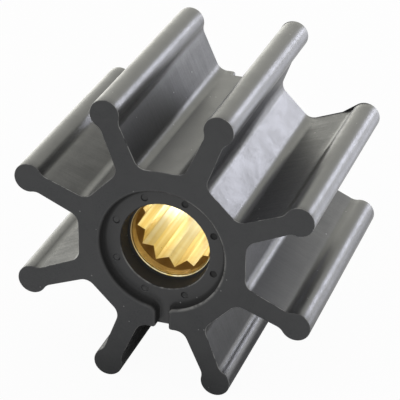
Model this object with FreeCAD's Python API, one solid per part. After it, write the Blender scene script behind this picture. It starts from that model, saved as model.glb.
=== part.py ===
import FreeCAD, Part
import math
import os
from FreeCAD import Vector

# A flexible pump impeller: one rubber moulding with eight bulb-tipped vanes,
# bonded round a brass insert whose bore carries twelve straight splines.
# The shaft runs along Y through the origin, which is the middle of the width.
# The impeller lies on the tips of its two lowest vanes, with +Z up.

# Overall size of the moulding, in millimetres.
impeller_diameter = 65.0
impeller_width = 50.0

# Vanes: straight radial blades that thin outwards and end in a round bulb.
vane_count = 8
vane_thickness = 4.2
flank_draft = 1.75
bulb_diameter = 6.0
neck_fillet = 2.5
root_fillet = 2.5

# Hub between the vanes: one flat land in each gap.
hub_across_flats = 34.2

# Shallow recess in each end face, with a slot that opens it to one gap.
recess_diameter = 25.5
recess_depth = 2.1
recess_edge_radius = 0.5
recess_floor_radius = 0.35
slot_width = 2.6
slot_corner_radius = 1.3

# Pits that the mould's locating pins leave in the recess floor.
pit_count = 8
pit_circle_diameter = 21.6
pit_diameter = 1.5
pit_depth = 1.0

# Throat from the recess down to the insert, and the rubber skin over its end.
throat_diameter = 18.3
throat_edge_radius = 0.3
end_skin_thickness = 0.3

# Brass insert, set back from each end face of the rubber.
insert_diameter = 23.0
insert_setback = 6.0
insert_edge_chamfer = 0.6

# Bonding form on the outside of the insert: axial keys and one waist.
key_groove_count = 12
key_groove_radius = 1.0
waist_width = 8.0
waist_depth = 1.2
waist_flank = 1.2

# Mouth at each end of the insert: chamfer, plain counterbore, lead-in cone.
mouth_diameter = 17.0
mouth_chamfer_length = 0.5
counterbore_diameter = 16.4
counterbore_depth = 1.8
lead_in_half_angle = 17.5

# Splines: V grooves between teeth that have a narrow flat on each crest.
spline_count = 12
spline_root_diameter = 15.9
spline_crest_diameter = 14.7
spline_crest_flat = 0.4
spline_turn = -1.5

# How far a cutting shape runs past the surface that it opens.
overrun = 1.0

half_width = impeller_width / 2.0
vane_pitch = 360.0 / vane_count
bulb_radius = bulb_diameter / 2.0
bulb_centre = impeller_diameter / 2.0 - bulb_radius
hub_flat = hub_across_flats / 2.0
insert_half_length = half_width - insert_setback
recess_floor = recess_depth - half_width

origin = Vector(0, 0, 0)
shaft_line = Vector(0, 1, 0)
across_line = Vector(1, 0, 0)


def place(along, across, degrees, y):
    """A point given along and across a radial line, seen from the -Y end."""
    angle = math.radians(degrees)
    x = along * math.cos(angle) - across * math.sin(angle)
    z = along * math.sin(angle) + across * math.cos(angle)
    return Vector(x, y, z)


def both_ends(shape):
    """A feature of the front end, and the same one at the back, half a turn on."""
    copy = shape.copy()
    copy.rotate(origin, across_line, 180.0)
    return [shape, copy]


def arc_about(middle, radius, start, end):
    """The short arc between two points of a circle."""
    out = (start - middle) + (end - middle)
    out.normalize()
    return Part.Arc(start, middle + out * radius, end).toShape()


def prism(edges, length):
    """A closed outline, drawn across the shaft line, pushed along it."""
    return Part.Face(Part.Wire(edges)).extrude(shaft_line * length)


def revolved(corners):
    """A turned solid from the (radius, y) corners of its half section."""
    points = [Vector(radius, y, 0) for radius, y in corners]
    wire = Part.makePolygon(points + points[:1])
    return Part.Face(wire).revolve(origin, shaft_line, 360.0)


def rod(radius, start, end, along=0.0, degrees=0.0):
    """A round bar parallel to the shaft line."""
    foot = place(along, 0.0, degrees, start)
    return Part.makeCylinder(radius, end - start, foot, shaft_line)


def middle_of(edge):
    """The point halfway along an edge."""
    return edge.valueAt((edge.FirstParameter + edge.LastParameter) / 2.0)


def edges_at(shape, y, reach):
    """The edges that lie across the shaft line at y, nearer to it than reach."""
    tolerance = 1e-4
    chosen = []
    for edge in shape.Edges:
        box = edge.BoundBox
        if abs(box.YMin - y) > tolerance or abs(box.YMax - y) > tolerance:
            continue
        point = middle_of(edge)
        if math.hypot(point.x, point.z) < reach - tolerance:
            chosen.append(edge)
    return chosen


def vane_side():
    """One side of a vane, as (along, across) centres and points of tangency."""
    slope = math.tan(math.radians(flank_draft))
    steep = math.hypot(1.0, slope)
    mid_vane = (hub_flat + bulb_centre) / 2.0
    flank_at_axis = vane_thickness / 2.0 + mid_vane * slope

    # The neck fillet touches the bulb and the flank.
    reach = bulb_radius + neck_fillet
    offset = flank_at_axis + neck_fillet * steep
    half_b = bulb_centre + offset * slope
    c = bulb_centre ** 2 + offset ** 2 - reach ** 2
    along = (half_b - math.sqrt(half_b ** 2 - steep ** 2 * c)) / steep ** 2
    neck = (along, offset - slope * along)
    share = bulb_radius / reach
    on_bulb = (bulb_centre + (neck[0] - bulb_centre) * share, neck[1] * share)

    # The root fillet touches the flank and the flat of the hub.
    half_pitch = math.radians(vane_pitch / 2.0)
    cosine = math.cos(half_pitch)
    sine = math.sin(half_pitch)
    offset = flank_at_axis + root_fillet * steep
    along = (hub_flat + root_fillet - offset * sine) / (cosine - slope * sine)
    root = (along, offset - slope * along)
    on_hub = (root[0] - cosine * root_fillet, root[1] - sine * root_fillet)

    def on_flank(fillet_centre, radius):
        return (fillet_centre[0] - radius * slope / steep, fillet_centre[1] - radius / steep)

    flank_top = on_flank(neck, neck_fillet)
    flank_foot = on_flank(root, root_fillet)
    return neck, on_bulb, flank_top, flank_foot, root, on_hub


def moulding_outline():
    """The outline of the moulding at its front face, vane after vane."""
    neck, on_bulb, flank_top, flank_foot, root, on_hub = vane_side()
    edges = []
    for index in range(vane_count):
        angle = (index + 0.5) * vane_pitch

        def at(point, side, turn=angle):
            return place(point[0], side * point[1], turn, -half_width)

        tip = at((bulb_centre + bulb_radius, 0.0), 1)
        edges.append(arc_about(at(root, -1), root_fillet, at(on_hub, -1), at(flank_foot, -1)))
        edges.append(Part.makeLine(at(flank_foot, -1), at(flank_top, -1)))
        edges.append(arc_about(at(neck, -1), neck_fillet, at(flank_top, -1), at(on_bulb, -1)))
        edges.append(Part.Arc(at(on_bulb, -1), tip, at(on_bulb, 1)).toShape())
        edges.append(arc_about(at(neck, 1), neck_fillet, at(on_bulb, 1), at(flank_top, 1)))
        edges.append(Part.makeLine(at(flank_top, 1), at(flank_foot, 1)))
        edges.append(arc_about(at(root, 1), root_fillet, at(flank_foot, 1), at(on_hub, 1)))
        edges.append(Part.makeLine(at(on_hub, 1), at(on_hub, -1, angle + vane_pitch)))
    return edges


def recess_pocket():
    """The space of the front recess and its slot, which points straight down."""
    wall = recess_diameter / 2.0
    half_slot = slot_width / 2.0
    top = -half_width - overrun
    slot_end = -(hub_flat + overrun)
    corner_x = half_slot + slot_corner_radius
    corner_z = -math.sqrt((wall + slot_corner_radius) ** 2 - corner_x ** 2)
    share = wall / (wall + slot_corner_radius)

    def corner(side):
        middle = Vector(side * corner_x, top, corner_z)
        on_slot = Vector(side * half_slot, top, corner_z)
        on_wall = Vector(side * corner_x * share, top, corner_z * share)
        return on_slot, on_wall, arc_about(middle, slot_corner_radius, on_slot, on_wall)

    left_slot, left_wall, left_arc = corner(-1)
    right_slot, right_wall, right_arc = corner(1)
    left_end = Vector(-half_slot, top, slot_end)
    right_end = Vector(half_slot, top, slot_end)
    outline = [
        Part.Arc(left_wall, Vector(0, top, wall), right_wall).toShape(),
        right_arc,
        Part.makeLine(right_slot, right_end),
        Part.makeLine(right_end, left_end),
        Part.makeLine(left_end, left_slot),
        left_arc,
    ]
    pocket = prism(outline, overrun + recess_depth)
    return pocket.makeFillet(recess_floor_radius, edges_at(pocket, recess_floor, hub_flat))


def throat_space():
    """The stepped round way from the recess floor to the end of the insert."""
    skin_face = -insert_half_length - end_skin_thickness
    throat = rod(throat_diameter / 2.0, recess_floor - overrun, skin_face)
    opening = rod(mouth_diameter / 2.0, skin_face - overrun, -insert_half_length)
    return [throat, opening]


def pit_spaces():
    """The mould pins' pits, one in line with each vane."""
    pitch = 360.0 / pit_count
    floor = recess_floor + pit_depth
    circle = pit_circle_diameter / 2.0
    return [
        rod(pit_diameter / 2.0, recess_floor - overrun, floor, circle, (index + 0.5) * pitch)
        for index in range(pit_count)
    ]


def insert_blank():
    """The outside of the insert: a keyed and waisted bar that the rubber grips."""
    radius = insert_diameter / 2.0
    shoulder = radius - insert_edge_chamfer
    waist_edge = waist_width / 2.0
    waist_foot = waist_edge - waist_flank
    bar = revolved([
        (0.0, -insert_half_length),
        (shoulder, -insert_half_length),
        (radius, insert_edge_chamfer - insert_half_length),
        (radius, -waist_edge),
        (radius - waist_depth, -waist_foot),
        (radius - waist_depth, waist_foot),
        (radius, waist_edge),
        (radius, insert_half_length - insert_edge_chamfer),
        (shoulder, insert_half_length),
        (0.0, insert_half_length),
    ])
    reach = insert_half_length + overrun
    pitch = 360.0 / key_groove_count
    grooves = [
        rod(key_groove_radius, -reach, reach, radius, index * pitch)
        for index in range(key_groove_count)
    ]
    return bar.cut(grooves)


def spline_space():
    """The toothed hole: a star whose points are the grooves' roots."""
    pitch = 360.0 / spline_count
    root = spline_root_diameter / 2.0
    crest = spline_crest_diameter / 2.0
    half_flat = math.degrees(math.asin(spline_crest_flat / 2.0 / crest))
    start = -insert_half_length - overrun
    points = []
    for index in range(spline_count):
        groove = spline_turn + index * pitch
        tooth = groove + pitch / 2.0
        points.append(place(root, 0.0, groove, start))
        points.append(place(crest, 0.0, tooth - half_flat, start))
        points.append(place(crest, 0.0, tooth + half_flat, start))
    star = Part.makePolygon(points + points[:1])
    return Part.Face(star).extrude(shaft_line * (-2.0 * start))


def mouth_space():
    """The front mouth of the insert, from its chamfer to the lead-in cone."""
    mouth = mouth_diameter / 2.0
    bore = counterbore_diameter / 2.0
    face = -insert_half_length
    shoulder = face + counterbore_depth
    apex = shoulder + bore / math.tan(math.radians(lead_in_half_angle))
    return revolved([
        (0.0, face - overrun),
        (mouth, face - overrun),
        (mouth, face),
        (bore, face + mouth_chamfer_length),
        (bore, shoulder),
        (0.0, apex),
    ])


def splined_brass_insert():
    """Brass bushing, turned outside, with a broached bore."""
    return insert_blank().cut([spline_space()] + both_ends(mouth_space()))


def rounded(shape, radius, y, reach):
    """Round the rims that lie across the shaft line at y, and at -y behind."""
    for rim_y in (y, -y):
        shape = shape.makeFillet(radius, edges_at(shape, rim_y, reach))
    return shape


def vaned_rubber_body():
    """Rubber moulding: hub and vanes in one, open at both ends to the insert."""
    body = prism(moulding_outline(), impeller_width)
    spaces = [insert_blank()]
    for space in [recess_pocket()] + throat_space() + pit_spaces():
        spaces += both_ends(space)
    body = body.cut(spaces)
    throat_reach = throat_diameter / 2.0 + throat_edge_radius
    body = rounded(body, throat_edge_radius, recess_floor, throat_reach)
    return rounded(body, recess_edge_radius, -half_width, hub_flat)


nodes = {
    "vaned_rubber_body": vaned_rubber_body(),
    "splined_brass_insert": splined_brass_insert(),
}

os.makedirs("parts", exist_ok=True)
for name, shape in nodes.items():
    volume = round(shape.Volume / 1000.0, 3)
    print(name, "solids", len(shape.Solids), "valid", shape.isValid(), "cm3", volume)
    shape.Solids[0].exportStep("parts/" + name + ".step")
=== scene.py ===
import math

import bmesh
import bpy
import numpy as np
from mathutils import Matrix, Vector


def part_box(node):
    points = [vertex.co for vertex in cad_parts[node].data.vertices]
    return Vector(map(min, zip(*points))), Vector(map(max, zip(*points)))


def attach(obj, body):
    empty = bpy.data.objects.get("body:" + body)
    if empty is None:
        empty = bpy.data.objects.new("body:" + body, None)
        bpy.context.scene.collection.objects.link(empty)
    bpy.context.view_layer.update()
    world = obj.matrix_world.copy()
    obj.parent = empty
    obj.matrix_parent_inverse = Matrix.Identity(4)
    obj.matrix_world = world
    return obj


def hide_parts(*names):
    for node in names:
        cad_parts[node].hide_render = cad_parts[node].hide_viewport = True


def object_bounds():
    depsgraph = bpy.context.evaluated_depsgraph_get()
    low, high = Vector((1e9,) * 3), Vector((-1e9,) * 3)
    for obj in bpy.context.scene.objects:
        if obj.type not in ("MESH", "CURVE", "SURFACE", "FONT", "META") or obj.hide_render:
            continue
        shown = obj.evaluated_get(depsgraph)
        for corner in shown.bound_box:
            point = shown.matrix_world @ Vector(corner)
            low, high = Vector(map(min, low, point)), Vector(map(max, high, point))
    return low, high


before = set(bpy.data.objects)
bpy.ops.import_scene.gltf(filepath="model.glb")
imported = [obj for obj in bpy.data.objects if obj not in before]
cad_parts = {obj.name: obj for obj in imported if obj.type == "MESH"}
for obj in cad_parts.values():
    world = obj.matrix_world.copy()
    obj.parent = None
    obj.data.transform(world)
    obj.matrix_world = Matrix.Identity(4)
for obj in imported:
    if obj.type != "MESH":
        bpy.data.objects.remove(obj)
cad_low, cad_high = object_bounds()
mm = 0.001

# Rubber moulding.
# One black rubber piece, moulded round the brass insert: a hub with eight straight vanes that end in
# bulbs. The two end faces are ground flat and matt, and the moulded sides keep a satin skin.
body_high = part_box("vaned_rubber_body")[1]
half_width = body_high.y
vane_count = 8
half_pitch = math.pi / vane_count
bulb_radius = 3.0 * mm
bulb_centre = (body_high.z - bulb_radius) / math.cos(half_pitch)
vane_thickness = 4.2 * mm
flank_draft = math.radians(1.75)
neck_fillet = 2.5 * mm
root_fillet = 2.5 * mm
hub_flat = 17.1 * mm
end_edge = 0.16 * mm

recess_radius = 12.75 * mm
recess_depth = 2.1 * mm
recess_edge = 0.6 * mm
recess_floor_fillet = 0.95 * mm
slot_floor_fillet = 0.45 * mm
throat_radius = 9.15 * mm
throat_foot_radius = 8.85 * mm
throat_edge = 0.3 * mm
skin_thickness = 0.3 * mm

# The slot in each end leaves the recess at one gap. Its two sides differ a little, as moulded.
slot_half_width = 1.31 * mm
slot_shift = 0.14 * mm
slot_corner = {1: 1.2 * mm, -1: 1.7 * mm}
slot_lip = 0.6 * mm
lip_fillet_share = 0.8
least_cosine = 1e-6

pit_circle = 10.8 * mm
pit_radius = 0.68 * mm
pit_depth = 0.36 * mm
pit_edge = 0.16 * mm
pit_bottom = 0.2 * mm

insert_radius = 11.5 * mm
insert_setback = 6.0 * mm
insert_chamfer = 0.6 * mm
mouth_radius = 8.5 * mm
key_count = 12
key_radius = 1.0 * mm
key_steps = 5
between_keys_steps = 3
waist_half_width = 4.0 * mm
waist_depth = 1.2 * mm
waist_flank = 1.2 * mm

# Flash stands along two vanes. Its spans and its web count the outline's points from the bulb's tip.
fin_setback = 0.18 * mm
fin_width = 0.25 * mm
fin_root = 0.05 * mm
long_fin_gap = math.pi / 4
long_fin_span = (14, 68)
long_fin_web = (30, 53)
long_fin_height = 0.12 * mm
short_fin_gap = math.pi / 2
short_fin_span = (8, 30)
short_fin_height = 0.06 * mm

# Points along each stretch of the outline, and across the ring, the edges and the moulded sides.
bulb_steps = 36
fillet_steps = 16
flank_steps = 6
land_steps = 4
ring_steps = 24
edge_steps = 5
side_rows = 11
first_side_row = recess_depth + 1.2 * mm
weld = 0.002 * mm

# The slot's gap is counted clockwise from the right. Only the outer sides ripple.
slot_place = vane_count // 4
ripple_height = 0.03 * mm
ripple_scale = 150.0
ripple_start = recess_radius * 1.2
rubber_sharp_angle = math.radians(50)


def arc_run(centre, radius, start, end, steps, convex=True):
    """Points of an arc between two angles, each with its normal away from the rubber."""
    run = []
    for index in range(steps + 1):
        angle = start + (end - start) * index / steps
        ray = Vector((math.cos(angle), math.sin(angle)))
        run.append((centre + ray * radius, ray if convex else -ray))
    return run


def straight_run(start, end, normal, steps):
    """Points of a straight stretch, each with its normal away from the rubber."""
    return [(start.lerp(end, index / steps), normal) for index in range(steps + 1)]


def chained(*runs):
    """Runs set end to end, without the points that they share."""
    chain = list(runs[0])
    for run in runs[1:]:
        chain += run[1:]
    return chain


def mirrored(chain):
    """The same outline on the other side of the gap's middle line."""
    flip = Vector((1.0, -1.0))
    return [(point * flip, normal * flip) for point, normal in chain]


def vane_side(land_end):
    """The outline from a bulb's tip down its flank and along the hub's land, as far as land_end."""
    slope = math.tan(flank_draft)
    steep = math.hypot(1.0, slope)
    cosine = math.cos(half_pitch)
    sine = math.sin(half_pitch)
    flank_at_axis = vane_thickness / 2 + (hub_flat + bulb_centre) / 2 * slope

    # The neck fillet's centre stands its own radius off the flank and both radii off the bulb's centre.
    reach = bulb_radius + neck_fillet
    offset = flank_at_axis + neck_fillet * steep
    linear = bulb_centre + offset * slope
    constant = bulb_centre ** 2 + offset ** 2 - reach ** 2
    along = (linear - math.sqrt(linear ** 2 - steep ** 2 * constant)) / steep ** 2
    neck = Vector((along, offset - slope * along))

    # The root fillet's centre stands its own radius off the flank and off the hub's land.
    offset = flank_at_axis + root_fillet * steep
    along = (hub_flat + root_fillet - offset * sine) / (cosine - slope * sine)
    root = Vector((along, offset - slope * along))

    bulb = Vector((bulb_centre, 0.0))
    to_neck = neck - bulb
    to_bulb = -to_neck
    flank_angle = -math.pi / 2 - flank_draft
    flank_normal = Vector((slope, 1.0)) / steep
    bulb_run = arc_run(bulb, bulb_radius, 0.0, math.atan2(to_neck.y, to_neck.x), bulb_steps)
    neck_angle = math.atan2(to_bulb.y, to_bulb.x)
    neck_run = arc_run(neck, neck_fillet, neck_angle, flank_angle, fillet_steps, False)
    root_run = arc_run(root, root_fillet, flank_angle, half_pitch - math.pi, fillet_steps, False)
    flank_run = straight_run(neck_run[-1][0], root_run[0][0], flank_normal, flank_steps)
    turned = []
    for point, normal in chained(bulb_run, neck_run, flank_run, root_run):
        turned.append(tuple(
            Vector((v.x * cosine + v.y * sine, v.x * sine - v.y * cosine)) for v in (point, normal)
        ))
    land = straight_run(turned[-1][0], Vector((hub_flat, land_end)), Vector((1.0, 0.0)), land_steps)
    return chained(turned, land)


def at(point, depth):
    """A point of the outline at a depth behind the front face."""
    return Vector((point.x, depth - half_width, point.y))


def rounded_rows(chain, edges, level=0.0, steps=edge_steps):
    """Rows that round a wall over into the flat it starts from, at that level."""
    rows = []
    for step in range(steps + 1):
        turn = math.pi / 2 * step / steps
        rows.append([
            at(point - normal * edge * (1 - math.sin(turn)), level + edge * (1 - math.cos(turn)))
            for (point, normal), edge in zip(chain, edges)
        ])
    return rows


def fillet_rows(chain, fillets, level, steps=edge_steps):
    """Rows that bring a wall out into the floor at that level."""
    rows = []
    for step in range(steps + 1):
        turn = math.pi / 2 * step / steps
        rows.append([
            at(point + normal * size * (1 - math.cos(turn)), level - size * (1 - math.sin(turn)))
            for (point, normal), size in zip(chain, fillets)
        ])
    return rows


def add_strip(shell, rows):
    """Quads between each row of points and the next."""
    made = [[shell.verts.new(point) for point in row] for row in rows]
    for near, far in zip(made, made[1:]):
        for index in range(len(near) - 1):
            shell.faces.new((near[index], near[index + 1], far[index + 1], far[index]))


def add_flat(shell, points):
    """One flat face with this outline."""
    shell.faces.new([shell.verts.new(point) for point in points])


def finished_mesh(shell, name):
    """The mesh of a shell whose neighbouring faces are joined."""
    bmesh.ops.remove_doubles(shell, verts=shell.verts, dist=weld)
    bmesh.ops.recalc_face_normals(shell, faces=shell.faces)
    mesh = bpy.data.meshes.new(name)
    shell.to_mesh(mesh)
    shell.free()
    return mesh


def ring(radius, start, end, steps, convex=True):
    """Points of an arc round the shaft line."""
    return arc_run(Vector((0.0, 0.0)), radius, start, end, steps, convex)


def add_throat(shell):
    """The throat below the recess, and the rubber skin over the insert's end."""
    wall = ring(throat_radius, half_pitch, -half_pitch, ring_steps, False)
    foot = ring(throat_foot_radius, half_pitch, -half_pitch, ring_steps, False)
    opening = ring(mouth_radius, half_pitch, -half_pitch, ring_steps, False)
    rows = rounded_rows(wall, [throat_edge] * len(wall), recess_depth)
    skin_face = insert_setback - skin_thickness
    rows.append([at(point, skin_face) for point, normal in foot])
    rows.append([at(point, skin_face) for point, normal in opening])
    rows.append([at(point, insert_setback) for point, normal in opening])
    add_strip(shell, rows)
    return rows[0]


def add_half_pit(shell, side):
    """The half of a locating pin's pit that lies in this sector, beside its edge."""
    outwards = Vector((math.cos(half_pitch), side * math.sin(half_pitch)))
    inwards = Vector((math.sin(half_pitch), -side * math.cos(half_pitch)))
    wall = []
    for step in range(ring_steps // 2 + 1):
        turn = 2 * math.pi * step / ring_steps
        ray = outwards * math.cos(turn) + inwards * math.sin(turn)
        wall.append((outwards * pit_circle + ray * pit_radius, -ray))
    bottom = recess_depth + pit_depth
    rows = rounded_rows(wall, [pit_edge] * len(wall), recess_depth)
    rows += fillet_rows(wall, [pit_bottom] * len(wall), bottom)
    add_strip(shell, rows)
    add_flat(shell, rows[-1])
    return rows[0]


def add_recess_floor(shell, outer_edge):
    """The flat floor of the recess, inside the edge given from one side of the sector to the other."""
    throat = add_throat(shell)
    far_pit = add_half_pit(shell, -1)
    near_pit = add_half_pit(shell, 1)
    add_flat(shell, outer_edge + far_pit + throat[::-1] + near_pit[::-1])


def side_depths():
    """Depths of the rows down a moulded side, to the middle of the width."""
    return [recess_depth] + list(np.linspace(first_side_row, half_width, side_rows))


def plain_sector():
    """The front half of one gap, from the middle of one vane to the middle of the next."""
    shell = bmesh.new()
    outline = vane_side(0.0)
    outline = chained(outline, mirrored(outline)[::-1])
    side = rounded_rows(outline, [end_edge] * len(outline))
    side += [[at(point, depth) for point, normal in outline] for depth in side_depths()]
    add_strip(shell, side)

    wall = ring(recess_radius, half_pitch, -half_pitch, ring_steps, False)
    rim = rounded_rows(wall, [recess_edge] * len(wall))
    foot = fillet_rows(wall, [recess_floor_fillet] * len(wall), recess_depth)
    add_strip(shell, rim + foot)
    add_flat(shell, side[0] + rim[0][::-1])
    add_recess_floor(shell, foot[-1])
    return finished_mesh(shell, "plain_gap")


def slot_wall(side):
    """The wall from the hub's land round the slot's lip and corner to the recess, and its edges."""
    across = slot_half_width + side * slot_shift
    corner = slot_corner[side]
    corner_across = across + corner
    corner_along = math.sqrt((recess_radius + corner) ** 2 - corner_across ** 2)
    corner_angle = math.atan2(corner_across, corner_along)
    lip = Vector((hub_flat - slot_lip, across + slot_lip))
    lip_run = arc_run(lip, slot_lip, 0.0, -math.pi / 2, fillet_steps)
    corner_centre = Vector((corner_along, corner_across))
    corner_run = arc_run(corner_centre, corner, -math.pi / 2, corner_angle - math.pi, fillet_steps)
    slot_run = straight_run(lip_run[-1][0], corner_run[0][0], Vector((0.0, -1.0)), land_steps)
    recess_run = ring(recess_radius, corner_angle, half_pitch, ring_steps // 2, False)
    chain = chained(lip_run, slot_run, corner_run, recess_run)
    edges = []
    fillets = []

    # Round the lip the floor's fillet shrinks to nothing, because the lip leaves it no room.
    for index in range(len(chain)):
        round_lip = min(index / fillet_steps, 1.0)
        edges.append(end_edge + (recess_edge - end_edge) * round_lip ** 2)
        lip_cosine = max(math.cos(round_lip * math.pi / 2), least_cosine)
        room = lip_fillet_share * slot_lip * (1 / lip_cosine - 1)
        round_corner = min(max((index - fillet_steps - land_steps) / fillet_steps, 0.0), 1.0)
        fillet = slot_floor_fillet + (recess_floor_fillet - slot_floor_fillet) * round_corner
        fillets.append(min(fillet, room))
    return chain, edges, fillets, across + slot_lip


def slotted_sector():
    """The front half of the gap that the slot opens to."""
    shell = bmesh.new()
    floor_edges = {}
    land_ends = {}
    for side in (1, -1):
        wall, edges, fillets, land_ends[side] = slot_wall(side)
        outline = vane_side(land_ends[side])
        if side < 0:
            wall = mirrored(wall)
            outline = mirrored(outline)
        skin = rounded_rows(outline, [end_edge] * len(outline))
        skin += [[at(point, depth) for point, normal in outline] for depth in side_depths()]
        add_strip(shell, skin)
        rim = rounded_rows(wall, edges)
        foot = fillet_rows(wall, fillets, recess_depth)
        add_strip(shell, rim + foot)
        add_flat(shell, skin[0] + rim[0][1:])
        floor_edges[side] = foot[-1]

    mouth_start = Vector((hub_flat, land_ends[1]))
    mouth_end = Vector((hub_flat, -land_ends[-1]))
    mouth = straight_run(mouth_start, mouth_end, Vector((1.0, 0.0)), 2 * land_steps)
    add_strip(shell, [[at(point, depth) for point, normal in mouth] for depth in side_depths()])
    mouth_edge = [at(point, recess_depth) for point, normal in mouth]
    add_recess_floor(shell, floor_edges[1][::-1] + mouth_edge[1:-1] + floor_edges[-1])
    return finished_mesh(shell, "slotted_gap")


def key_columns(start, end):
    """Angle and greatest radius of the lines down the insert's outside, from start to end."""
    gap = between_keys_steps
    last = math.acos(key_radius / insert_radius / 2)
    columns = []
    for step in range(-key_steps, key_steps + 1):
        turn = last * step / key_steps
        foot = Vector((insert_radius - key_radius * math.cos(turn), key_radius * math.sin(turn)))
        columns.append((math.atan2(foot.y, foot.x), foot.length))
    first_angle = columns[0][0]
    last_angle = columns[-1][0]
    before = [(start + (first_angle - start) * index / gap, insert_radius) for index in range(gap)]
    after = [(end + (last_angle - end) * index / gap, insert_radius) for index in range(gap)]
    return before + columns + after[::-1]


def insert_side_rows(start, end):
    """Rows of the insert's keyed and waisted outside, from its front end to the middle."""
    waist_edge = half_width - waist_half_width
    profile = (
        (insert_setback, insert_radius - insert_chamfer),
        (insert_setback + insert_chamfer, insert_radius),
        (waist_edge, insert_radius),
        (waist_edge + waist_flank, insert_radius - waist_depth),
        (half_width, insert_radius - waist_depth),
    )
    rows = []
    for depth, radius in profile:
        row = []
        for angle, greatest in key_columns(start, end):
            reach = min(radius, greatest)
            row.append(at(Vector((reach * math.cos(angle), reach * math.sin(angle))), depth))
        rows.append(row)
    return rows


def pocket_sector():
    """The front half of one key of the hidden pocket that holds the insert."""
    shell = bmesh.new()
    half_key = math.pi / key_count
    rows = insert_side_rows(-half_key, half_key)
    add_strip(shell, rows)
    steps = ring_steps * vane_count // key_count
    opening = ring(mouth_radius, half_key, -half_key, steps, False)
    add_flat(shell, rows[0] + [at(point, insert_setback) for point, normal in opening])
    return finished_mesh(shell, "pocket_key")


def flash_fin(gap_angle, span, height, web=None):
    """A thin fin of rubber that the mould's joint left along one vane's side, near its back edge.
    Its span and web are given in points of the outline, counted from the bulb's tip. The fin follows
    the side, but its web bridges the hollow of the neck."""
    shell = bmesh.new()
    turned = Matrix.Rotation(gap_angle, 2)
    outline = mirrored(vane_side(0.0))[slice(*span)]
    sides = [(turned @ point, turned @ normal) for point, normal in outline]
    tips = []
    for index, (point, normal) in enumerate(sides):
        taper = math.sqrt(math.sin(math.pi * index / (len(sides) - 1)))
        tips.append(point + normal * height * taper)
    if web:
        start = web[0] - span[0]
        end = web[1] - span[0]
        for index in range(start, end):
            tips[index] = tips[start].lerp(tips[end], (index - start) / (end - start))
    back = 2 * half_width - fin_setback
    front_base = [at(point - normal * fin_root, back - fin_width) for point, normal in sides]
    back_base = [at(point - normal * fin_root, back) for point, normal in sides]
    tip = [at(point, back - fin_width / 3) for point in tips]
    add_strip(shell, [front_base, tip, back_base, front_base])
    add_flat(shell, [front_base[0], tip[0], back_base[0]])
    add_flat(shell, [front_base[-1], tip[-1], back_base[-1]])
    return finished_mesh(shell, "flash_fin")


def add_node(tree, kind, inputs=None, **settings):
    """A node with its settings, and its inputs given as values or as other nodes' outputs."""
    made = tree.nodes.new(kind)
    for name, value in settings.items():
        setattr(made, name, value)
    for key, value in (inputs or {}).items():
        if isinstance(value, bpy.types.NodeSocket):
            tree.links.new(value, made.inputs[key])
        else:
            made.inputs[key].default_value = value
    return made


def calc(tree, operation, first, second):
    """What a Math node makes of two values."""
    return add_node(tree, "ShaderNodeMath", {0: first, 1: second}, operation=operation).outputs[0]


def vector_calc(tree, operation, first, second):
    """What a Vector Math node makes of two vectors."""
    return add_node(tree, "ShaderNodeVectorMath", {0: first, 1: second}, operation=operation).outputs[0]


def new_group(name, kind, inputs, outputs):
    """An empty node group with named inputs and outputs, and its two end nodes."""
    tree = bpy.data.node_groups.new(name, kind)
    for title, socket, value in inputs:
        made = tree.interface.new_socket(title, in_out="INPUT", socket_type=socket)
        if value is not None:
            made.default_value = value
    for title, socket in outputs:
        tree.interface.new_socket(title, in_out="OUTPUT", socket_type=socket)
    return tree, tree.nodes.new("NodeGroupInput").outputs, tree.nodes.new("NodeGroupOutput").inputs


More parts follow.
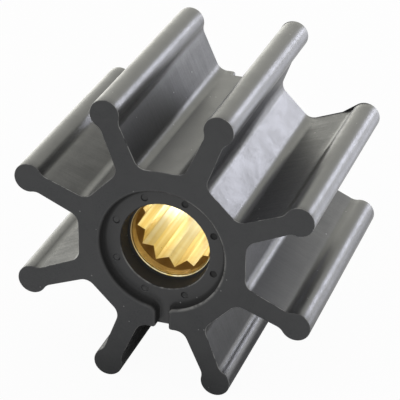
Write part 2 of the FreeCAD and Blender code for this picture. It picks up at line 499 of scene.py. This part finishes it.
def turned_sectors_tree():
    """One sector turned round the shaft line, with another form of it in one place of the ring."""
    tree, given, result = new_group(
        "turned_sectors",
        "GeometryNodeTree",
        (
            ("Sector", "NodeSocketGeometry", None),
            ("Other Sector", "NodeSocketObject", None),
            ("Other Place", "NodeSocketInt", -1),
            ("Copies", "NodeSocketInt", 8),
            ("Both Ends", "NodeSocketBool", False),
            ("Weld Distance", "NodeSocketFloat", 0.0),
            ("Ripple Height", "NodeSocketFloat", 0.0),
            ("Ripple Scale", "NodeSocketFloat", 1.0),
            ("Ripple Inside", "NodeSocketFloat", 0.0),
            ("Finish", "NodeSocketMaterial", None),
        ),
        (("Piece", "NodeSocketGeometry"),),
    )
    index = add_node(tree, "GeometryNodeInputIndex").outputs[0]
    pitch = calc(tree, "DIVIDE", 2 * math.pi, given["Copies"])
    turn = calc(tree, "MULTIPLY", index, pitch)
    rotation = add_node(tree, "ShaderNodeCombineXYZ", {"Y": turn}).outputs[0]
    places = add_node(tree, "GeometryNodePoints", {"Count": given["Copies"]}).outputs[0]
    is_other = add_node(tree, "FunctionNodeCompare", {
        2: index, 3: given["Other Place"],
    }, data_type="INT", operation="EQUAL").outputs[0]
    is_plain = add_node(tree, "FunctionNodeBooleanMath", {0: is_other}, operation="NOT").outputs[0]
    other = add_node(tree, "GeometryNodeObjectInfo", {
        "Object": given["Other Sector"],
    }).outputs["Geometry"]
    ring_parts = add_node(tree, "GeometryNodeJoinGeometry")
    for sector, chosen in ((given["Sector"], is_plain), (other, is_other)):
        copies = add_node(tree, "GeometryNodeInstanceOnPoints", {
            "Points": places, "Selection": chosen, "Instance": sector, "Rotation": rotation,
        })
        tree.links.new(copies.outputs[0], ring_parts.inputs[0])
    turned_over = add_node(tree, "GeometryNodeTransform", {
        "Geometry": ring_parts.outputs[0], "Rotation": (math.pi, 0.0, 0.0),
    })
    both = add_node(tree, "GeometryNodeJoinGeometry", {0: ring_parts.outputs[0]})
    back = add_node(tree, "GeometryNodeSwitch", {
        "Switch": given["Both Ends"], "True": turned_over.outputs[0],
    }, input_type="GEOMETRY")
    tree.links.new(back.outputs[0], both.inputs[0])
    whole = add_node(tree, "GeometryNodeRealizeInstances", {0: both.outputs[0]}).outputs[0]
    whole = add_node(tree, "GeometryNodeMergeByDistance", {
        "Geometry": whole, "Distance": given["Weld Distance"],
    }).outputs[0]

    # The sides of a moulding are never quite true: they ripple slowly along and round the piece.
    place = add_node(tree, "GeometryNodeInputPosition").outputs[0]
    noise = add_node(tree, "ShaderNodeTexNoise", {
        "Vector": place, "Scale": given["Ripple Scale"], "Detail": 1.0,
    }).outputs[0]
    swing = calc(tree, "SUBTRACT", noise, 1.0)
    sideways = vector_calc(tree, "MULTIPLY", place, (1.0, 0.0, 1.0))
    reach = add_node(tree, "ShaderNodeVectorMath", {0: sideways}, operation="LENGTH").outputs["Value"]
    outside = calc(tree, "GREATER_THAN", reach, given["Ripple Inside"])
    height = calc(tree, "MULTIPLY", swing, given["Ripple Height"])
    height = calc(tree, "MULTIPLY", height, outside)
    normal = add_node(tree, "GeometryNodeInputNormal").outputs[0]
    flat = vector_calc(tree, "MULTIPLY", normal, (1.0, 0.0, 1.0))
    move = add_node(tree, "ShaderNodeVectorMath", {
        0: flat, "Scale": height,
    }, operation="SCALE").outputs[0]
    whole = add_node(tree, "GeometryNodeSetPosition", {"Geometry": whole, "Offset": move}).outputs[0]
    whole = add_node(tree, "GeometryNodeSetMaterial", {
        "Geometry": whole, "Material": given["Finish"],
    }).outputs[0]
    tree.links.new(whole, result[0])
    return tree


def new_object(name, data):
    """An object of the scene with this mesh, lamp or camera."""
    made = bpy.data.objects.new(name, data)
    bpy.context.scene.collection.objects.link(made)
    return made


def plain_result(maker):
    """The mesh that an object's modifiers give, with the object itself taken away."""
    bpy.context.view_layer.update()
    seen = maker.evaluated_get(bpy.context.evaluated_depsgraph_get())
    mesh = bpy.data.meshes.new_from_object(seen)
    bpy.data.objects.remove(maker)
    return mesh


def turned_piece(tree, sector, values):
    """The mesh that the tree makes of a sector, with the tree's inputs set by name."""
    maker = new_object(sector.name, sector)
    modifier = maker.modifiers.new("turned", "NODES")
    modifier.node_group = tree
    items = tree.interface.items_tree
    sockets = {item.name: item.identifier for item in items if item.in_out == "INPUT"}
    for name, value in values.items():
        modifier[sockets[name]] = value
    return plain_result(maker)


def closed_piece(name, meshes, finish, sharp_angle):
    """One object of meshes whose rims meet, shaded smooth but for its sharp edges."""
    shell = bmesh.new()
    for mesh in meshes:
        shell.from_mesh(mesh)
    bmesh.ops.remove_doubles(shell, verts=shell.verts, dist=weld)
    bmesh.ops.recalc_face_normals(shell, faces=shell.faces)
    for edge in shell.edges:
        edge.smooth = edge.calc_face_angle(0.0) < sharp_angle
    for face in shell.faces:
        face.smooth = True
        face.material_index = 0
    joined = bpy.data.meshes.new(name)
    shell.to_mesh(joined)
    shell.free()
    joined.materials.clear()
    joined.materials.append(finish)
    maker = new_object(name + "_maker", joined)
    weighted = maker.modifiers.new("weighted", "WEIGHTED_NORMAL")
    weighted.keep_sharp = True
    piece = new_object(name, plain_result(maker))
    piece.data.name = name
    return piece


def drawn_lines_group():
    """Fine uneven lines, drawn out along the direction in which their fineness is least."""
    tree, given, result = new_group(
        "drawn_lines",
        "ShaderNodeTree",
        (("Across Shaft", "NodeSocketFloat", 1000.0), ("Along Shaft", "NodeSocketFloat", 40.0)),
        (("Height", "NodeSocketFloat"),),
    )
    place = add_node(tree, "ShaderNodeTexCoord").outputs["Object"]
    scale = add_node(tree, "ShaderNodeCombineXYZ", {
        "X": given["Across Shaft"], "Y": given["Along Shaft"], "Z": given["Across Shaft"],
    }).outputs[0]
    stretched = vector_calc(tree, "MULTIPLY", place, scale)
    noise = add_node(tree, "ShaderNodeTexNoise", {"Vector": stretched, "Scale": 1.0, "Detail": 1.0})
    tree.links.new(noise.outputs[0], result[0])
    return tree


def mottle_group():
    """Soft patches where a surface is cleaner or duller, with finer ones inside them."""
    tree, given, result = new_group(
        "mottle",
        "ShaderNodeTree",
        (
            ("Fineness", "NodeSocketFloat", 200.0), ("Detail", "NodeSocketFloat", 4.0),
            ("Low", "NodeSocketFloat", 0.4), ("High", "NodeSocketFloat", 0.6),
        ),
        (("Patches", "NodeSocketFloat"),),
    )
    place = add_node(tree, "ShaderNodeTexCoord").outputs["Object"]
    noise = add_node(tree, "ShaderNodeTexNoise", {
        "Vector": place, "Scale": given["Fineness"], "Detail": given["Detail"],
        "Roughness": 0.6, "Distortion": 0.4,
    })
    patches = add_node(tree, "ShaderNodeMapRange", {
        "Value": noise.outputs[0], "From Min": given["Low"], "From Max": given["High"],
    }, interpolation_type="SMOOTHSTEP")
    tree.links.new(patches.outputs[0], result[0])
    return tree


def specks_group():
    """Small scattered spots, such as dust, pores or pits."""
    tree, given, result = new_group(
        "specks",
        "ShaderNodeTree",
        (
            ("Fineness", "NodeSocketFloat", 1000.0), ("Size", "NodeSocketFloat", 0.2),
            ("Share", "NodeSocketFloat", 0.1),
        ),
        (("Spots", "NodeSocketFloat"),),
    )
    place = add_node(tree, "ShaderNodeTexCoord").outputs["Object"]
    cells = add_node(tree, "ShaderNodeTexVoronoi", {"Vector": place, "Scale": given["Fineness"]})
    near = calc(tree, "LESS_THAN", cells.outputs["Distance"], given["Size"])
    pick = add_node(tree, "ShaderNodeSeparateColor", {0: cells.outputs["Color"]}).outputs[0]
    chosen = calc(tree, "LESS_THAN", pick, given["Share"])
    tree.links.new(calc(tree, "MULTIPLY", near, chosen), result[0])
    return tree


drawn_lines = drawn_lines_group()
mottle = mottle_group()
specks = specks_group()


def new_material(name):
    """An empty material with its tree and output."""
    made = bpy.data.materials.new(name)
    made.use_nodes = True
    made.node_tree.nodes.clear()
    return made, made.node_tree, made.node_tree.nodes.new("ShaderNodeOutputMaterial")


def effect(tree, group, inputs):
    """One of the shared groups, placed in a material with its own values."""
    made = add_node(tree, "ShaderNodeGroup", node_tree=group)
    for name, value in inputs.items():
        made.inputs[name].default_value = value
    return made.outputs[0]


def mark(tree, name):
    """The marks that a piece's mesh holds under this name."""
    return add_node(tree, "ShaderNodeAttribute", attribute_name=name).outputs["Fac"]


def mix_value(tree, factor, low, high):
    """A value between two others."""
    return add_node(tree, "ShaderNodeMix", {0: factor, 2: low, 3: high}).outputs[0]


def mix_colour(tree, factor, low, high):
    """A colour between two others."""
    return add_node(tree, "ShaderNodeMix", {0: factor, 6: low, 7: high}, data_type="RGBA").outputs[2]


rubber_black = (0.0340, 0.0342, 0.0350, 1.0)
# Painted shade between the vanes.
rubber_flank_shade = (0.0060, 0.0062, 0.0080, 1.0)
rubber_ground = (0.0200, 0.0211, 0.0228, 1.0)
rubber_ground_light = (0.0280, 0.0292, 0.0308, 1.0)
rubber_bloom = (0.060, 0.060, 0.060, 1.0)
# Painted shade in the recess, its throat and its pits.
rubber_painted_shade = (0.003, 0.003, 0.003, 1.0)
# Painted highlight, with some scuffed wear, on the rounded edges.
rubber_highlight_and_wear = (0.32, 0.32, 0.31, 1.0)
rubber_dust = (0.16, 0.16, 0.16, 1.0)

skin_roughness = (0.29, 0.34)
skin_grain = 0.06
flank_milling = (0.06, 0.22)
ground_roughness = (0.46, 0.62)
painted_shade_roughness = 0.85
skin_bloom = 0.30
flank_bloom = 0.10
rubber_specular = 0.6
rubber_bump_strength = 0.6
rubber_bump_height = 0.005 * mm


def rubber_material():
    """Black moulded rubber: satin where the mould shaped it, matt and grainy where it was ground."""
    made, tree, output = new_material("moulded_rubber")
    skin = mark(tree, "moulded_skin")
    dull = mark(tree, "dull_flank")
    highlight_and_wear = mark(tree, "worn_edge")
    sooty = mark(tree, "sooty")
    streaks = effect(tree, drawn_lines, {"Across Shaft": 1100.0, "Along Shaft": 30.0})
    mill_marks = effect(tree, drawn_lines, {"Across Shaft": 90.0, "Along Shaft": 1900.0})
    patches = effect(tree, mottle, {"Fineness": 260.0, "Detail": 4.0, "Low": 0.38, "High": 0.66})
    grain = effect(tree, mottle, {"Fineness": 2600.0, "Detail": 1.0, "Low": 0.3, "High": 0.7})
    scuffs = effect(tree, mottle, {"Fineness": 500.0, "Detail": 3.0, "Low": 0.35, "High": 0.60})
    clouds = effect(tree, mottle, {"Fineness": 45.0, "Detail": 2.0, "Low": 0.3, "High": 0.7})
    dust = effect(tree, specks, {"Fineness": 900.0, "Size": 0.14, "Share": 0.035})

    # The milled mould left its marks on the flanks, which makes them less shiny than the bulbs.
    satin = mix_value(tree, patches, *skin_roughness)
    satin = calc(tree, "ADD", satin, calc(tree, "MULTIPLY", grain, skin_grain))
    milled = mix_value(tree, mill_marks, *flank_milling)
    satin = calc(tree, "ADD", satin, calc(tree, "MULTIPLY", dull, milled))
    matt = mix_value(tree, grain, *ground_roughness)
    roughness = mix_value(tree, skin, matt, satin)
    roughness = mix_value(tree, sooty, roughness, painted_shade_roughness)

    ground = mix_colour(tree, clouds, rubber_ground, rubber_ground_light)
    # The flanks between the vanes are also painted darker and bluer, as painted shade.
    moulded = mix_colour(tree, dull, rubber_black, rubber_flank_shade)
    colour = mix_colour(tree, skin, ground, moulded)
    bloom = calc(tree, "MULTIPLY", patches, grain)
    bloom = calc(tree, "MULTIPLY", bloom, mix_value(tree, dull, skin_bloom, flank_bloom))
    colour = mix_colour(tree, bloom, colour, rubber_bloom)
    # Painted shade: the recess, its throat and its pits are darkened and roughened.
    colour = mix_colour(tree, sooty, colour, rubber_painted_shade)
    # Painted highlight, with some scuffed wear: the rounded edges are lightened.
    colour = mix_colour(tree, calc(tree, "MULTIPLY", highlight_and_wear, scuffs), colour, rubber_highlight_and_wear)
    colour = mix_colour(tree, dust, colour, rubber_dust)

    mould_lines = mix_value(tree, dull, streaks, mill_marks)
    bump = add_node(tree, "ShaderNodeBump", {
        "Strength": rubber_bump_strength, "Distance": rubber_bump_height,
        "Height": mix_value(tree, skin, grain, mould_lines),
    })
    shader = add_node(tree, "ShaderNodeBsdfPrincipled", {
        "Base Color": colour, "Roughness": roughness, "Normal": bump.outputs[0],
        "Specular IOR Level": rubber_specular,
    })
    tree.links.new(shader.outputs[0], output.inputs["Surface"])
    return made


turned_sectors = turned_sectors_tree()
moulded_rubber = rubber_material()
slotted = bpy.data.objects.new("slotted_gap", slotted_sector())
body_mesh = turned_piece(turned_sectors, plain_sector(), {
    "Other Sector": slotted,
    "Other Place": slot_place,
    "Copies": vane_count,
    "Both Ends": True,
    "Weld Distance": weld,
    "Ripple Height": ripple_height,
    "Ripple Scale": ripple_scale,
    "Ripple Inside": ripple_start,
    "Finish": moulded_rubber,
})
pocket_mesh = turned_piece(turned_sectors, pocket_sector(), {
    "Copies": key_count, "Both Ends": True, "Weld Distance": weld, "Finish": moulded_rubber,
})
bpy.data.objects.remove(slotted)
long_fin = flash_fin(long_fin_gap, long_fin_span, long_fin_height, long_fin_web)
short_fin = flash_fin(short_fin_gap, short_fin_span, short_fin_height)
rubber_meshes = [body_mesh, pocket_mesh, long_fin, short_fin]
rubber = closed_piece("rubber_moulding", rubber_meshes, moulded_rubber, rubber_sharp_angle)

# Where the finish changes. Painted shade darkens the recess, most of all down its wall and in the pits
# at the right.
ground_depth = 0.005 * mm
outside_margin = 0.1 * mm
recess_skin = 0.7
floor_shade = 0.2
floor_shade_fade = 0.06 * mm
throat_shade = 0.45
pit_shade_level = 0.35
pit_shade_right = 0.5
pit_shade_up = 0.1
pit_shade_depth = 0.05 * mm
# The flanks' band, milled and painted with shade, lies between these radii.
dull_start = 18.5 * mm
dull_end = 27.0 * mm
dull_fade = 1.0 * mm

# The recess's rim has a painted highlight with scuffed wear on the right, the throat's below, and one
# vane's front edge most of all.
# That vane lies between two lines through the shaft line, given as x for each z.
rim_highlight = 0.4
rim_highlight_right = 1.2
throat_highlight_below = 2.0
highlit_vane_start = 17.3 * mm
highlit_vane_end = 26.5 * mm
highlit_vane_slopes = (-0.414, -0.09)
highlit_vane_strength = 2.5


def ramp(values):
    """Values held between 0 and 1."""
    return np.clip(values, 0, 1)


def mark_rubber(piece):
    """Marks the moulded skin, the dull flanks with their painted shade, the edges' painted highlight
    and wear, and the recess's painted shade for the material.
    """
    mesh = piece.data
    points = np.zeros(len(mesh.vertices) * 3)
    mesh.vertices.foreach_get("co", points)
    x, y, z = points.reshape(-1, 3).T
    depth = half_width - np.abs(y)
    reach = np.hypot(x, z)
    rightwards = x / reach
    upwards = z / reach
    below_face = depth > ground_depth
    below_floor = depth - recess_depth
    outside = reach > recess_radius + recess_edge + outside_margin
    by_throat = reach < throat_radius + throat_edge
    skin = np.where(below_face, np.where(outside, 1.0, recess_skin), 0.0)
    dull = ramp((reach - dull_start) / dull_fade) * ramp((dull_end - reach) / dull_fade)

    # Painted shade down the recess's wall and over its floor, in the throat, and in the pits, darker at
    # the right.
    sooty = np.clip(-below_floor / floor_shade_fade, floor_shade, 1) * ramp(depth / recess_edge)
    sooty = np.where(below_face & (reach < hub_flat - slot_lip), sooty, 0.0)
    in_throat = by_throat & (below_floor > throat_edge / 2)
    sooty = np.where(in_throat, throat_shade, sooty)
    in_pit = ~by_throat & (reach < recess_radius) & (below_floor > pit_shade_depth)
    pit_shade = pit_shade_level + pit_shade_right * rightwards + pit_shade_up * upwards
    sooty = np.where(in_pit, ramp(pit_shade), sooty)

    # Painted highlight and wear along the rounded edges, strongest on the recess rim's right, the
    # throat's bottom and one vane.
    rounding = np.where(outside, end_edge, recess_edge)
    highlight_and_wear = np.sin(ramp(depth / rounding) * math.pi)
    highlight_and_wear = highlight_and_wear * np.where(outside, 1.0, ramp(rim_highlight + rim_highlight_right * rightwards))
    slot_side = slot_half_width + slot_lip + slot_shift
    in_slot = outside & (np.abs(x) < slot_side) & (reach < hub_flat + slot_lip)
    highlight_and_wear = np.where(in_slot, 0.0, highlight_and_wear)
    throat_rim = ramp(below_floor / throat_edge) * by_throat
    highlight_and_wear = np.maximum(highlight_and_wear, np.sin(throat_rim * math.pi) * ramp(-throat_highlight_below * upwards))
    far_slope, near_slope = highlit_vane_slopes
    on_vane = (reach > highlit_vane_start) & (reach < highlit_vane_end)
    on_vane = on_vane & (z > 0) & (x > far_slope * z) & (x < near_slope * z)
    highlight_and_wear = highlight_and_wear * np.where(on_vane & (y < 0), highlit_vane_strength, 1.0)
    marks = (("moulded_skin", skin), ("dull_flank", dull), ("worn_edge", highlight_and_wear), ("sooty", sooty))
    for name, values in marks:
        mesh.attributes.new(name, "FLOAT", "POINT").data.foreach_set("value", values)


mark_rubber(rubber)
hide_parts("vaned_rubber_body")
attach(rubber, "root")

# Splined insert.
# One brass bushing, turned and then broached. Each end has a rounded mouth and a plain counterbore,
# behind which the twelve teeth start with flat slanted ends. Grooves and a waist round the outside
# key it to the rubber.
counterbore_radius = 8.2 * mm
counterbore_depth = 2.3 * mm
mouth_edge = 0.28 * mm
mouth_edge_length = 0.5 * mm
root_start = 8.6 * mm
crest_start = 10.55 * mm
spline_count = 12
spline_root = 7.95 * mm
spline_crest = 7.33 * mm
crest_half_flat = 0.06 * mm
spline_turn = math.radians(-1.5)
flank_columns = 5
spline_rows = 8
brass_sharp_angle = math.radians(7)

brass_bright = (0.88, 0.81, 0.57, 1.0)
brass_deep = (0.73, 0.56, 0.19, 1.0)
brass_dull = (0.42, 0.29, 0.12, 1.0)
brass_end = (0.48, 0.27, 0.07, 1.0)
brass_stain = (0.30, 0.20, 0.09, 1.0)

brass_roughness = (0.28, 0.32)
tooth_end_roughness = 0.40
tooth_end_metallic = 0.6
light_tarnish = 0.2
deep_line_range = (-0.6, 1.5)
brass_bump_strength = 0.26
brass_bump_height = 0.004 * mm


def tooth_line():
    """Points across one groove of the bore, from the middle of a tooth to that of the next."""
    half_tooth = math.pi / spline_count
    crest_angle = half_tooth - math.asin(crest_half_flat / spline_crest)

    def polar(radius, angle):
        return Vector((radius * math.cos(angle), radius * math.sin(angle)))

    crest = polar(spline_crest, -crest_angle)
    root = Vector((spline_root, 0.0))
    middle = polar(math.hypot(*crest) * math.cos(half_tooth - crest_angle), -half_tooth)
    half = [middle] + [crest.lerp(root, index / flank_columns) for index in range(flank_columns + 1)]
    line = half + [Vector((point.x, -point.y)) for point in half[-2::-1]]
    turn = Matrix.Rotation(spline_turn, 2)
    return [turn @ point for point in line]


def insert_sector():
    """One tooth pitch of the insert, from end to end."""
    shell = bmesh.new()
    line = tooth_line()
    shoulder = insert_setback + counterbore_depth
    middle = len(line) // 2

    def column(index):
        """Points from one end of the bore to the other, through one point of the groove."""
        point = line[index]
        toothed = point.length
        ray = point.normalized()
        share = min(abs(index - middle) / flank_columns, 1.0)
        start = root_start + (crest_start - root_start) * share
        front = [(mouth_radius, insert_setback)]
        for step in range(edge_steps + 1):
            turn = math.pi / 2 * step / edge_steps
            inward = mouth_edge * (1 - math.sin(turn))
            along = mouth_edge_length * (1 - math.cos(turn))
            front.append((counterbore_radius + inward, insert_setback + along))
        front.append((counterbore_radius, shoulder))
        bore = [(toothed, depth) for depth in np.linspace(start, 2 * half_width - start, spline_rows)]
        back = [(radius, 2 * half_width - depth) for radius, depth in front[::-1]]
        return [at(ray * radius, depth) for radius, depth in front + bore + back]

    rows = list(zip(*[column(index) for index in range(len(line))]))
    add_strip(shell, rows)
    start = math.atan2(line[0].y, line[0].x)
    end = math.atan2(line[-1].y, line[-1].x)
    outer = insert_side_rows(start, end)
    outer += [[Vector((p.x, -p.y, p.z)) for p in row] for row in outer[-2::-1]]
    add_strip(shell, outer)
    add_flat(shell, list(rows[0]) + outer[0][::-1])
    add_flat(shell, list(rows[-1]) + outer[-1][::-1])
    return finished_mesh(shell, "insert_tooth")


def brass_material():
    """Machined brass: drawn lines down its bright teeth, and browner ends and counterbore."""
    made, tree, output = new_material("machined_brass")
    dull = mark(tree, "dull_metal")
    tooth_end = mark(tree, "tooth_end")
    streaks = effect(tree, drawn_lines, {"Across Shaft": 2200.0, "Along Shaft": 40.0})
    broad_lines = effect(tree, drawn_lines, {"Across Shaft": 1000.0, "Along Shaft": 12.0})
    patches = effect(tree, mottle, {"Fineness": 260.0, "Detail": 3.0, "Low": 0.50, "High": 0.75})
    pores = effect(tree, specks, {"Fineness": 1600.0, "Size": 0.16, "Share": 0.04})

    # Tarnish in random patches, with the counterbore's brown and the rim's painted shade.
    tarnish_and_shade = calc(tree, "MAXIMUM", dull, calc(tree, "MULTIPLY", patches, light_tarnish))
    deep = mix_value(tree, broad_lines, *deep_line_range)
    colour = mix_colour(tree, deep, brass_bright, brass_deep)
    colour = mix_colour(tree, tarnish_and_shade, colour, brass_dull)
    colour = mix_colour(tree, tooth_end, colour, brass_end)
    colour = mix_colour(tree, pores, colour, brass_stain)
    roughness = mix_value(tree, tarnish_and_shade, *brass_roughness)
    roughness = mix_value(tree, tooth_end, roughness, tooth_end_roughness)
    metal = mix_value(tree, tooth_end, 1.0, tooth_end_metallic)
    bump = add_node(tree, "ShaderNodeBump", {
        "Strength": brass_bump_strength, "Distance": brass_bump_height, "Height": streaks,
    })
    shader = add_node(tree, "ShaderNodeBsdfPrincipled", {
        "Base Color": colour, "Roughness": roughness, "Metallic": metal, "Normal": bump.outputs[0],
    })
    tree.links.new(shader.outputs[0], output.inputs["Surface"])
    return made


machined_brass = brass_material()
insert_mesh = turned_piece(turned_sectors, insert_sector(), {
    "Copies": spline_count, "Weld Distance": weld, "Finish": machined_brass,
})
insert = closed_piece("brass_insert", [insert_mesh], machined_brass, brass_sharp_angle)

# The mouth's rim is painted brown with shade, but for a bright stretch at the bottom.
rim_bright_angle = math.radians(-75)
rim_bright_spread = 2.0
rim_shade = 0.9
root_margin = 0.01 * mm


def mark_brass(piece):
    """Marks the brown counterbore, the rim's painted shade, and the flat ends of the teeth, for the
    material.
    """
    mesh = piece.data
    dull = mesh.attributes.new("dull_metal", "FLOAT", "CORNER").data
    tooth_end = mesh.attributes.new("tooth_end", "FLOAT", "CORNER").data
    rim = insert_setback + mouth_edge_length
    foot = insert_setback + counterbore_depth
    for face in mesh.polygons:
        depth = half_width - abs(face.center.y)
        reach = max(math.hypot(mesh.vertices[v].co.x, mesh.vertices[v].co.z) for v in face.vertices)
        brown = 0.0
        end = 0.0
        if foot > depth > rim:
            brown = 1.0
        elif depth <= rim:
            # Painted shade round the rim, but for the bright stretch at the bottom.
            round_rim = math.atan2(face.center.z, face.center.x) - rim_bright_angle
            brown = min(max(1.0 - rim_bright_spread * math.cos(round_rim), 0.0), rim_shade)
        elif reach > counterbore_radius - root_margin and depth < crest_start:
            end = 1.0
        for corner in face.loop_indices:
            dull[corner].value = brown
            tooth_end[corner].value = end


mark_brass(insert)
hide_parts("splined_brass_insert")
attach(insert, "root")

# Floor.
# A plain white table top under the two lowest vanes. The camera sees it white with a share of the
# object's shadow. The vanes mirror it white too, but for a painted shadow: a round place close under
# them where only the lamps' light on the matt table shows.
floor_size = 4.0
floor_white = (0.82, 0.82, 0.82, 1.0)
shadow_share = 0.04
shade_radius = 44 * mm
shade_fade = 12 * mm


def floor_material():
    """A white table that takes the light of the lamps as a matt one does, but shows up white."""
    made, tree, output = new_material("white_table")
    path = add_node(tree, "ShaderNodeLightPath").outputs
    place = add_node(tree, "ShaderNodeTexCoord").outputs["Object"]
    reach = add_node(tree, "ShaderNodeVectorMath", {0: place}, operation="LENGTH").outputs["Value"]
    clear = add_node(tree, "ShaderNodeMapRange", {
        "Value": reach, "From Min": shade_radius, "From Max": shade_radius + shade_fade,
    }, interpolation_type="SMOOTHSTEP").outputs[0]
    # Painted shadow: within a round place under the object, reflections lose the white.
    mirrored_white = calc(tree, "MULTIPLY", path["Is Glossy Ray"], clear)
    seen = calc(tree, "MAXIMUM", path["Is Camera Ray"], mirrored_white)
    seen = calc(tree, "MAXIMUM", seen, path["Is Transmission Ray"])
    lit = add_node(tree, "ShaderNodeBsdfDiffuse", {"Color": floor_white})
    white = add_node(tree, "ShaderNodeEmission", {"Color": (1.0, 1.0, 1.0, 1.0), "Strength": 1.0})
    shown = add_node(tree, "ShaderNodeMixShader", {
        0: 1 - shadow_share, 1: lit.outputs[0], 2: white.outputs[0],
    })
    whole = add_node(tree, "ShaderNodeMixShader", {0: seen, 1: lit.outputs[0], 2: shown.outputs[0]})
    tree.links.new(whole.outputs[0], output.inputs["Surface"])
    return made


def floor_piece():
    """The table top, one flat square at the object's lowest point."""
    shell = bmesh.new()
    half = floor_size / 2
    corners = ((-half, -half), (half, -half), (half, half), (-half, half))
    shell.faces.new([shell.verts.new((x, y, cad_low.z)) for x, y in corners])
    mesh = bpy.data.meshes.new("table_top")
    shell.to_mesh(mesh)
    shell.free()
    mesh.materials.append(floor_material())
    return new_object("table_top", mesh)


floor_piece()

# Studio.
# A white room, a cool strip lamp low behind the right side for the long streaks down the vanes, a wide
# lamp above the back for the grey sheen, and a soft lamp in front for the end face.
room_light = 0.45


def studio_world():
    """A room that the camera and reflections see white, and that lights the object softly."""
    world = bpy.data.worlds.new("white_room")
    world.use_nodes = True
    tree = world.node_tree
    tree.nodes.clear()
    path = add_node(tree, "ShaderNodeLightPath").outputs
    seen = calc(tree, "MAXIMUM", path["Is Camera Ray"], path["Is Glossy Ray"])
    seen = calc(tree, "MAXIMUM", seen, path["Is Transmission Ray"])
    strength = mix_value(tree, seen, room_light, 1.0)
    white = add_node(tree, "ShaderNodeBackground", {
        "Color": (1.0, 1.0, 1.0, 1.0), "Strength": strength,
    })
    output = tree.nodes.new("ShaderNodeOutputWorld")
    tree.links.new(white.outputs[0], output.inputs["Surface"])
    bpy.context.scene.world = world


def lamp(name, direction, distance, width, height, radiance, colour):
    """A soft box that faces the object, with its brightness given as seen in a mirror."""
    light = bpy.data.lights.new(name, "AREA")
    light.shape = "RECTANGLE"
    light.size = width
    light.size_y = height
    light.energy = radiance * math.pi * width * height
    light.color = colour
    made = new_object(name, light)
    towards = Vector(direction).normalized()
    made.location = towards * distance
    made.rotation_mode = "QUATERNION"
    made.rotation_quaternion = towards.to_track_quat("Z", "Y")
    made.visible_camera = False
    return made


studio_world()
lamp(
    "strip_lamp", direction=(0.461, 0.841, 0.281), distance=0.9,
    width=0.16, height=0.30, radiance=11.8, colour=(0.82, 0.84, 1.0),
)
lamp(
    "back_lamp", direction=(0.0, 0.95, 0.35), distance=1.2,
    width=2.4, height=1.3, radiance=1.0, colour=(1.0, 0.99, 0.82),
)
lamp(
    "front_lamp", direction=(-0.5, -0.8, 0.7), distance=1.2,
    width=0.8, height=0.8, radiance=0.8, colour=(1.0, 0.99, 0.97),
)

# Two bright cards lie low behind the object, tilted a little towards it, for its vanes to mirror.
card_width = 0.42
card_length = 0.5
card_facing = (0.0, 0.17, -0.98)
card_across = 0.27
card_behind = 0.28
card_height = 44.0 * mm
cards = (
    ("right_card", 1.0, 2.4, (0.87, 0.89, 1.0)),
    ("left_card", -1.0, 1.9, (1.0, 0.99, 0.9)),
)
for name, side, radiance, tint in cards:
    card = lamp(name, card_facing, 0.0, card_width, card_length, radiance, tint)
    card.location = (side * card_across, card_behind, cad_low.z + card_height)

# Camera.
# It looks down on the front end face from the right, as in the photograph, through a long lens that
# stands 0.38 m off. Its angles, its distance and its lens were fitted to the photograph's view.
camera_azimuth = math.radians(18.487)
camera_elevation = math.radians(27.479)
camera_roll = math.radians(0.578)
camera_distance = 381.868 * mm
camera_target = Vector((-0.528, 0.0, -1.038)) * mm
focal_pixels = 1874.33
frame_pixels = 400
sensor_width = 36.0

back = Vector((
    math.sin(camera_azimuth) * math.cos(camera_elevation),
    -math.cos(camera_azimuth) * math.cos(camera_elevation),
    math.sin(camera_elevation),
))
right = (-back).cross(Vector((0.0, 0.0, 1.0))).normalized()
up = right.cross(-back)
rolled_right = right * math.cos(camera_roll) + up * math.sin(camera_roll)
rolled_up = up * math.cos(camera_roll) - right * math.sin(camera_roll)
camera = new_object("camera", bpy.data.cameras.new("camera"))
camera.data.sensor_width = sensor_width
camera.data.lens = sensor_width * focal_pixels / frame_pixels
camera.data.clip_start = 10 * mm
camera.data.clip_end = 10.0
turn = Matrix((rolled_right, rolled_up, back)).transposed().to_4x4()
camera.matrix_world = Matrix.Translation(camera_target + back * camera_distance) @ turn
bpy.context.scene.camera = camera
bpy.context.scene.view_settings.view_transform = "Standard"
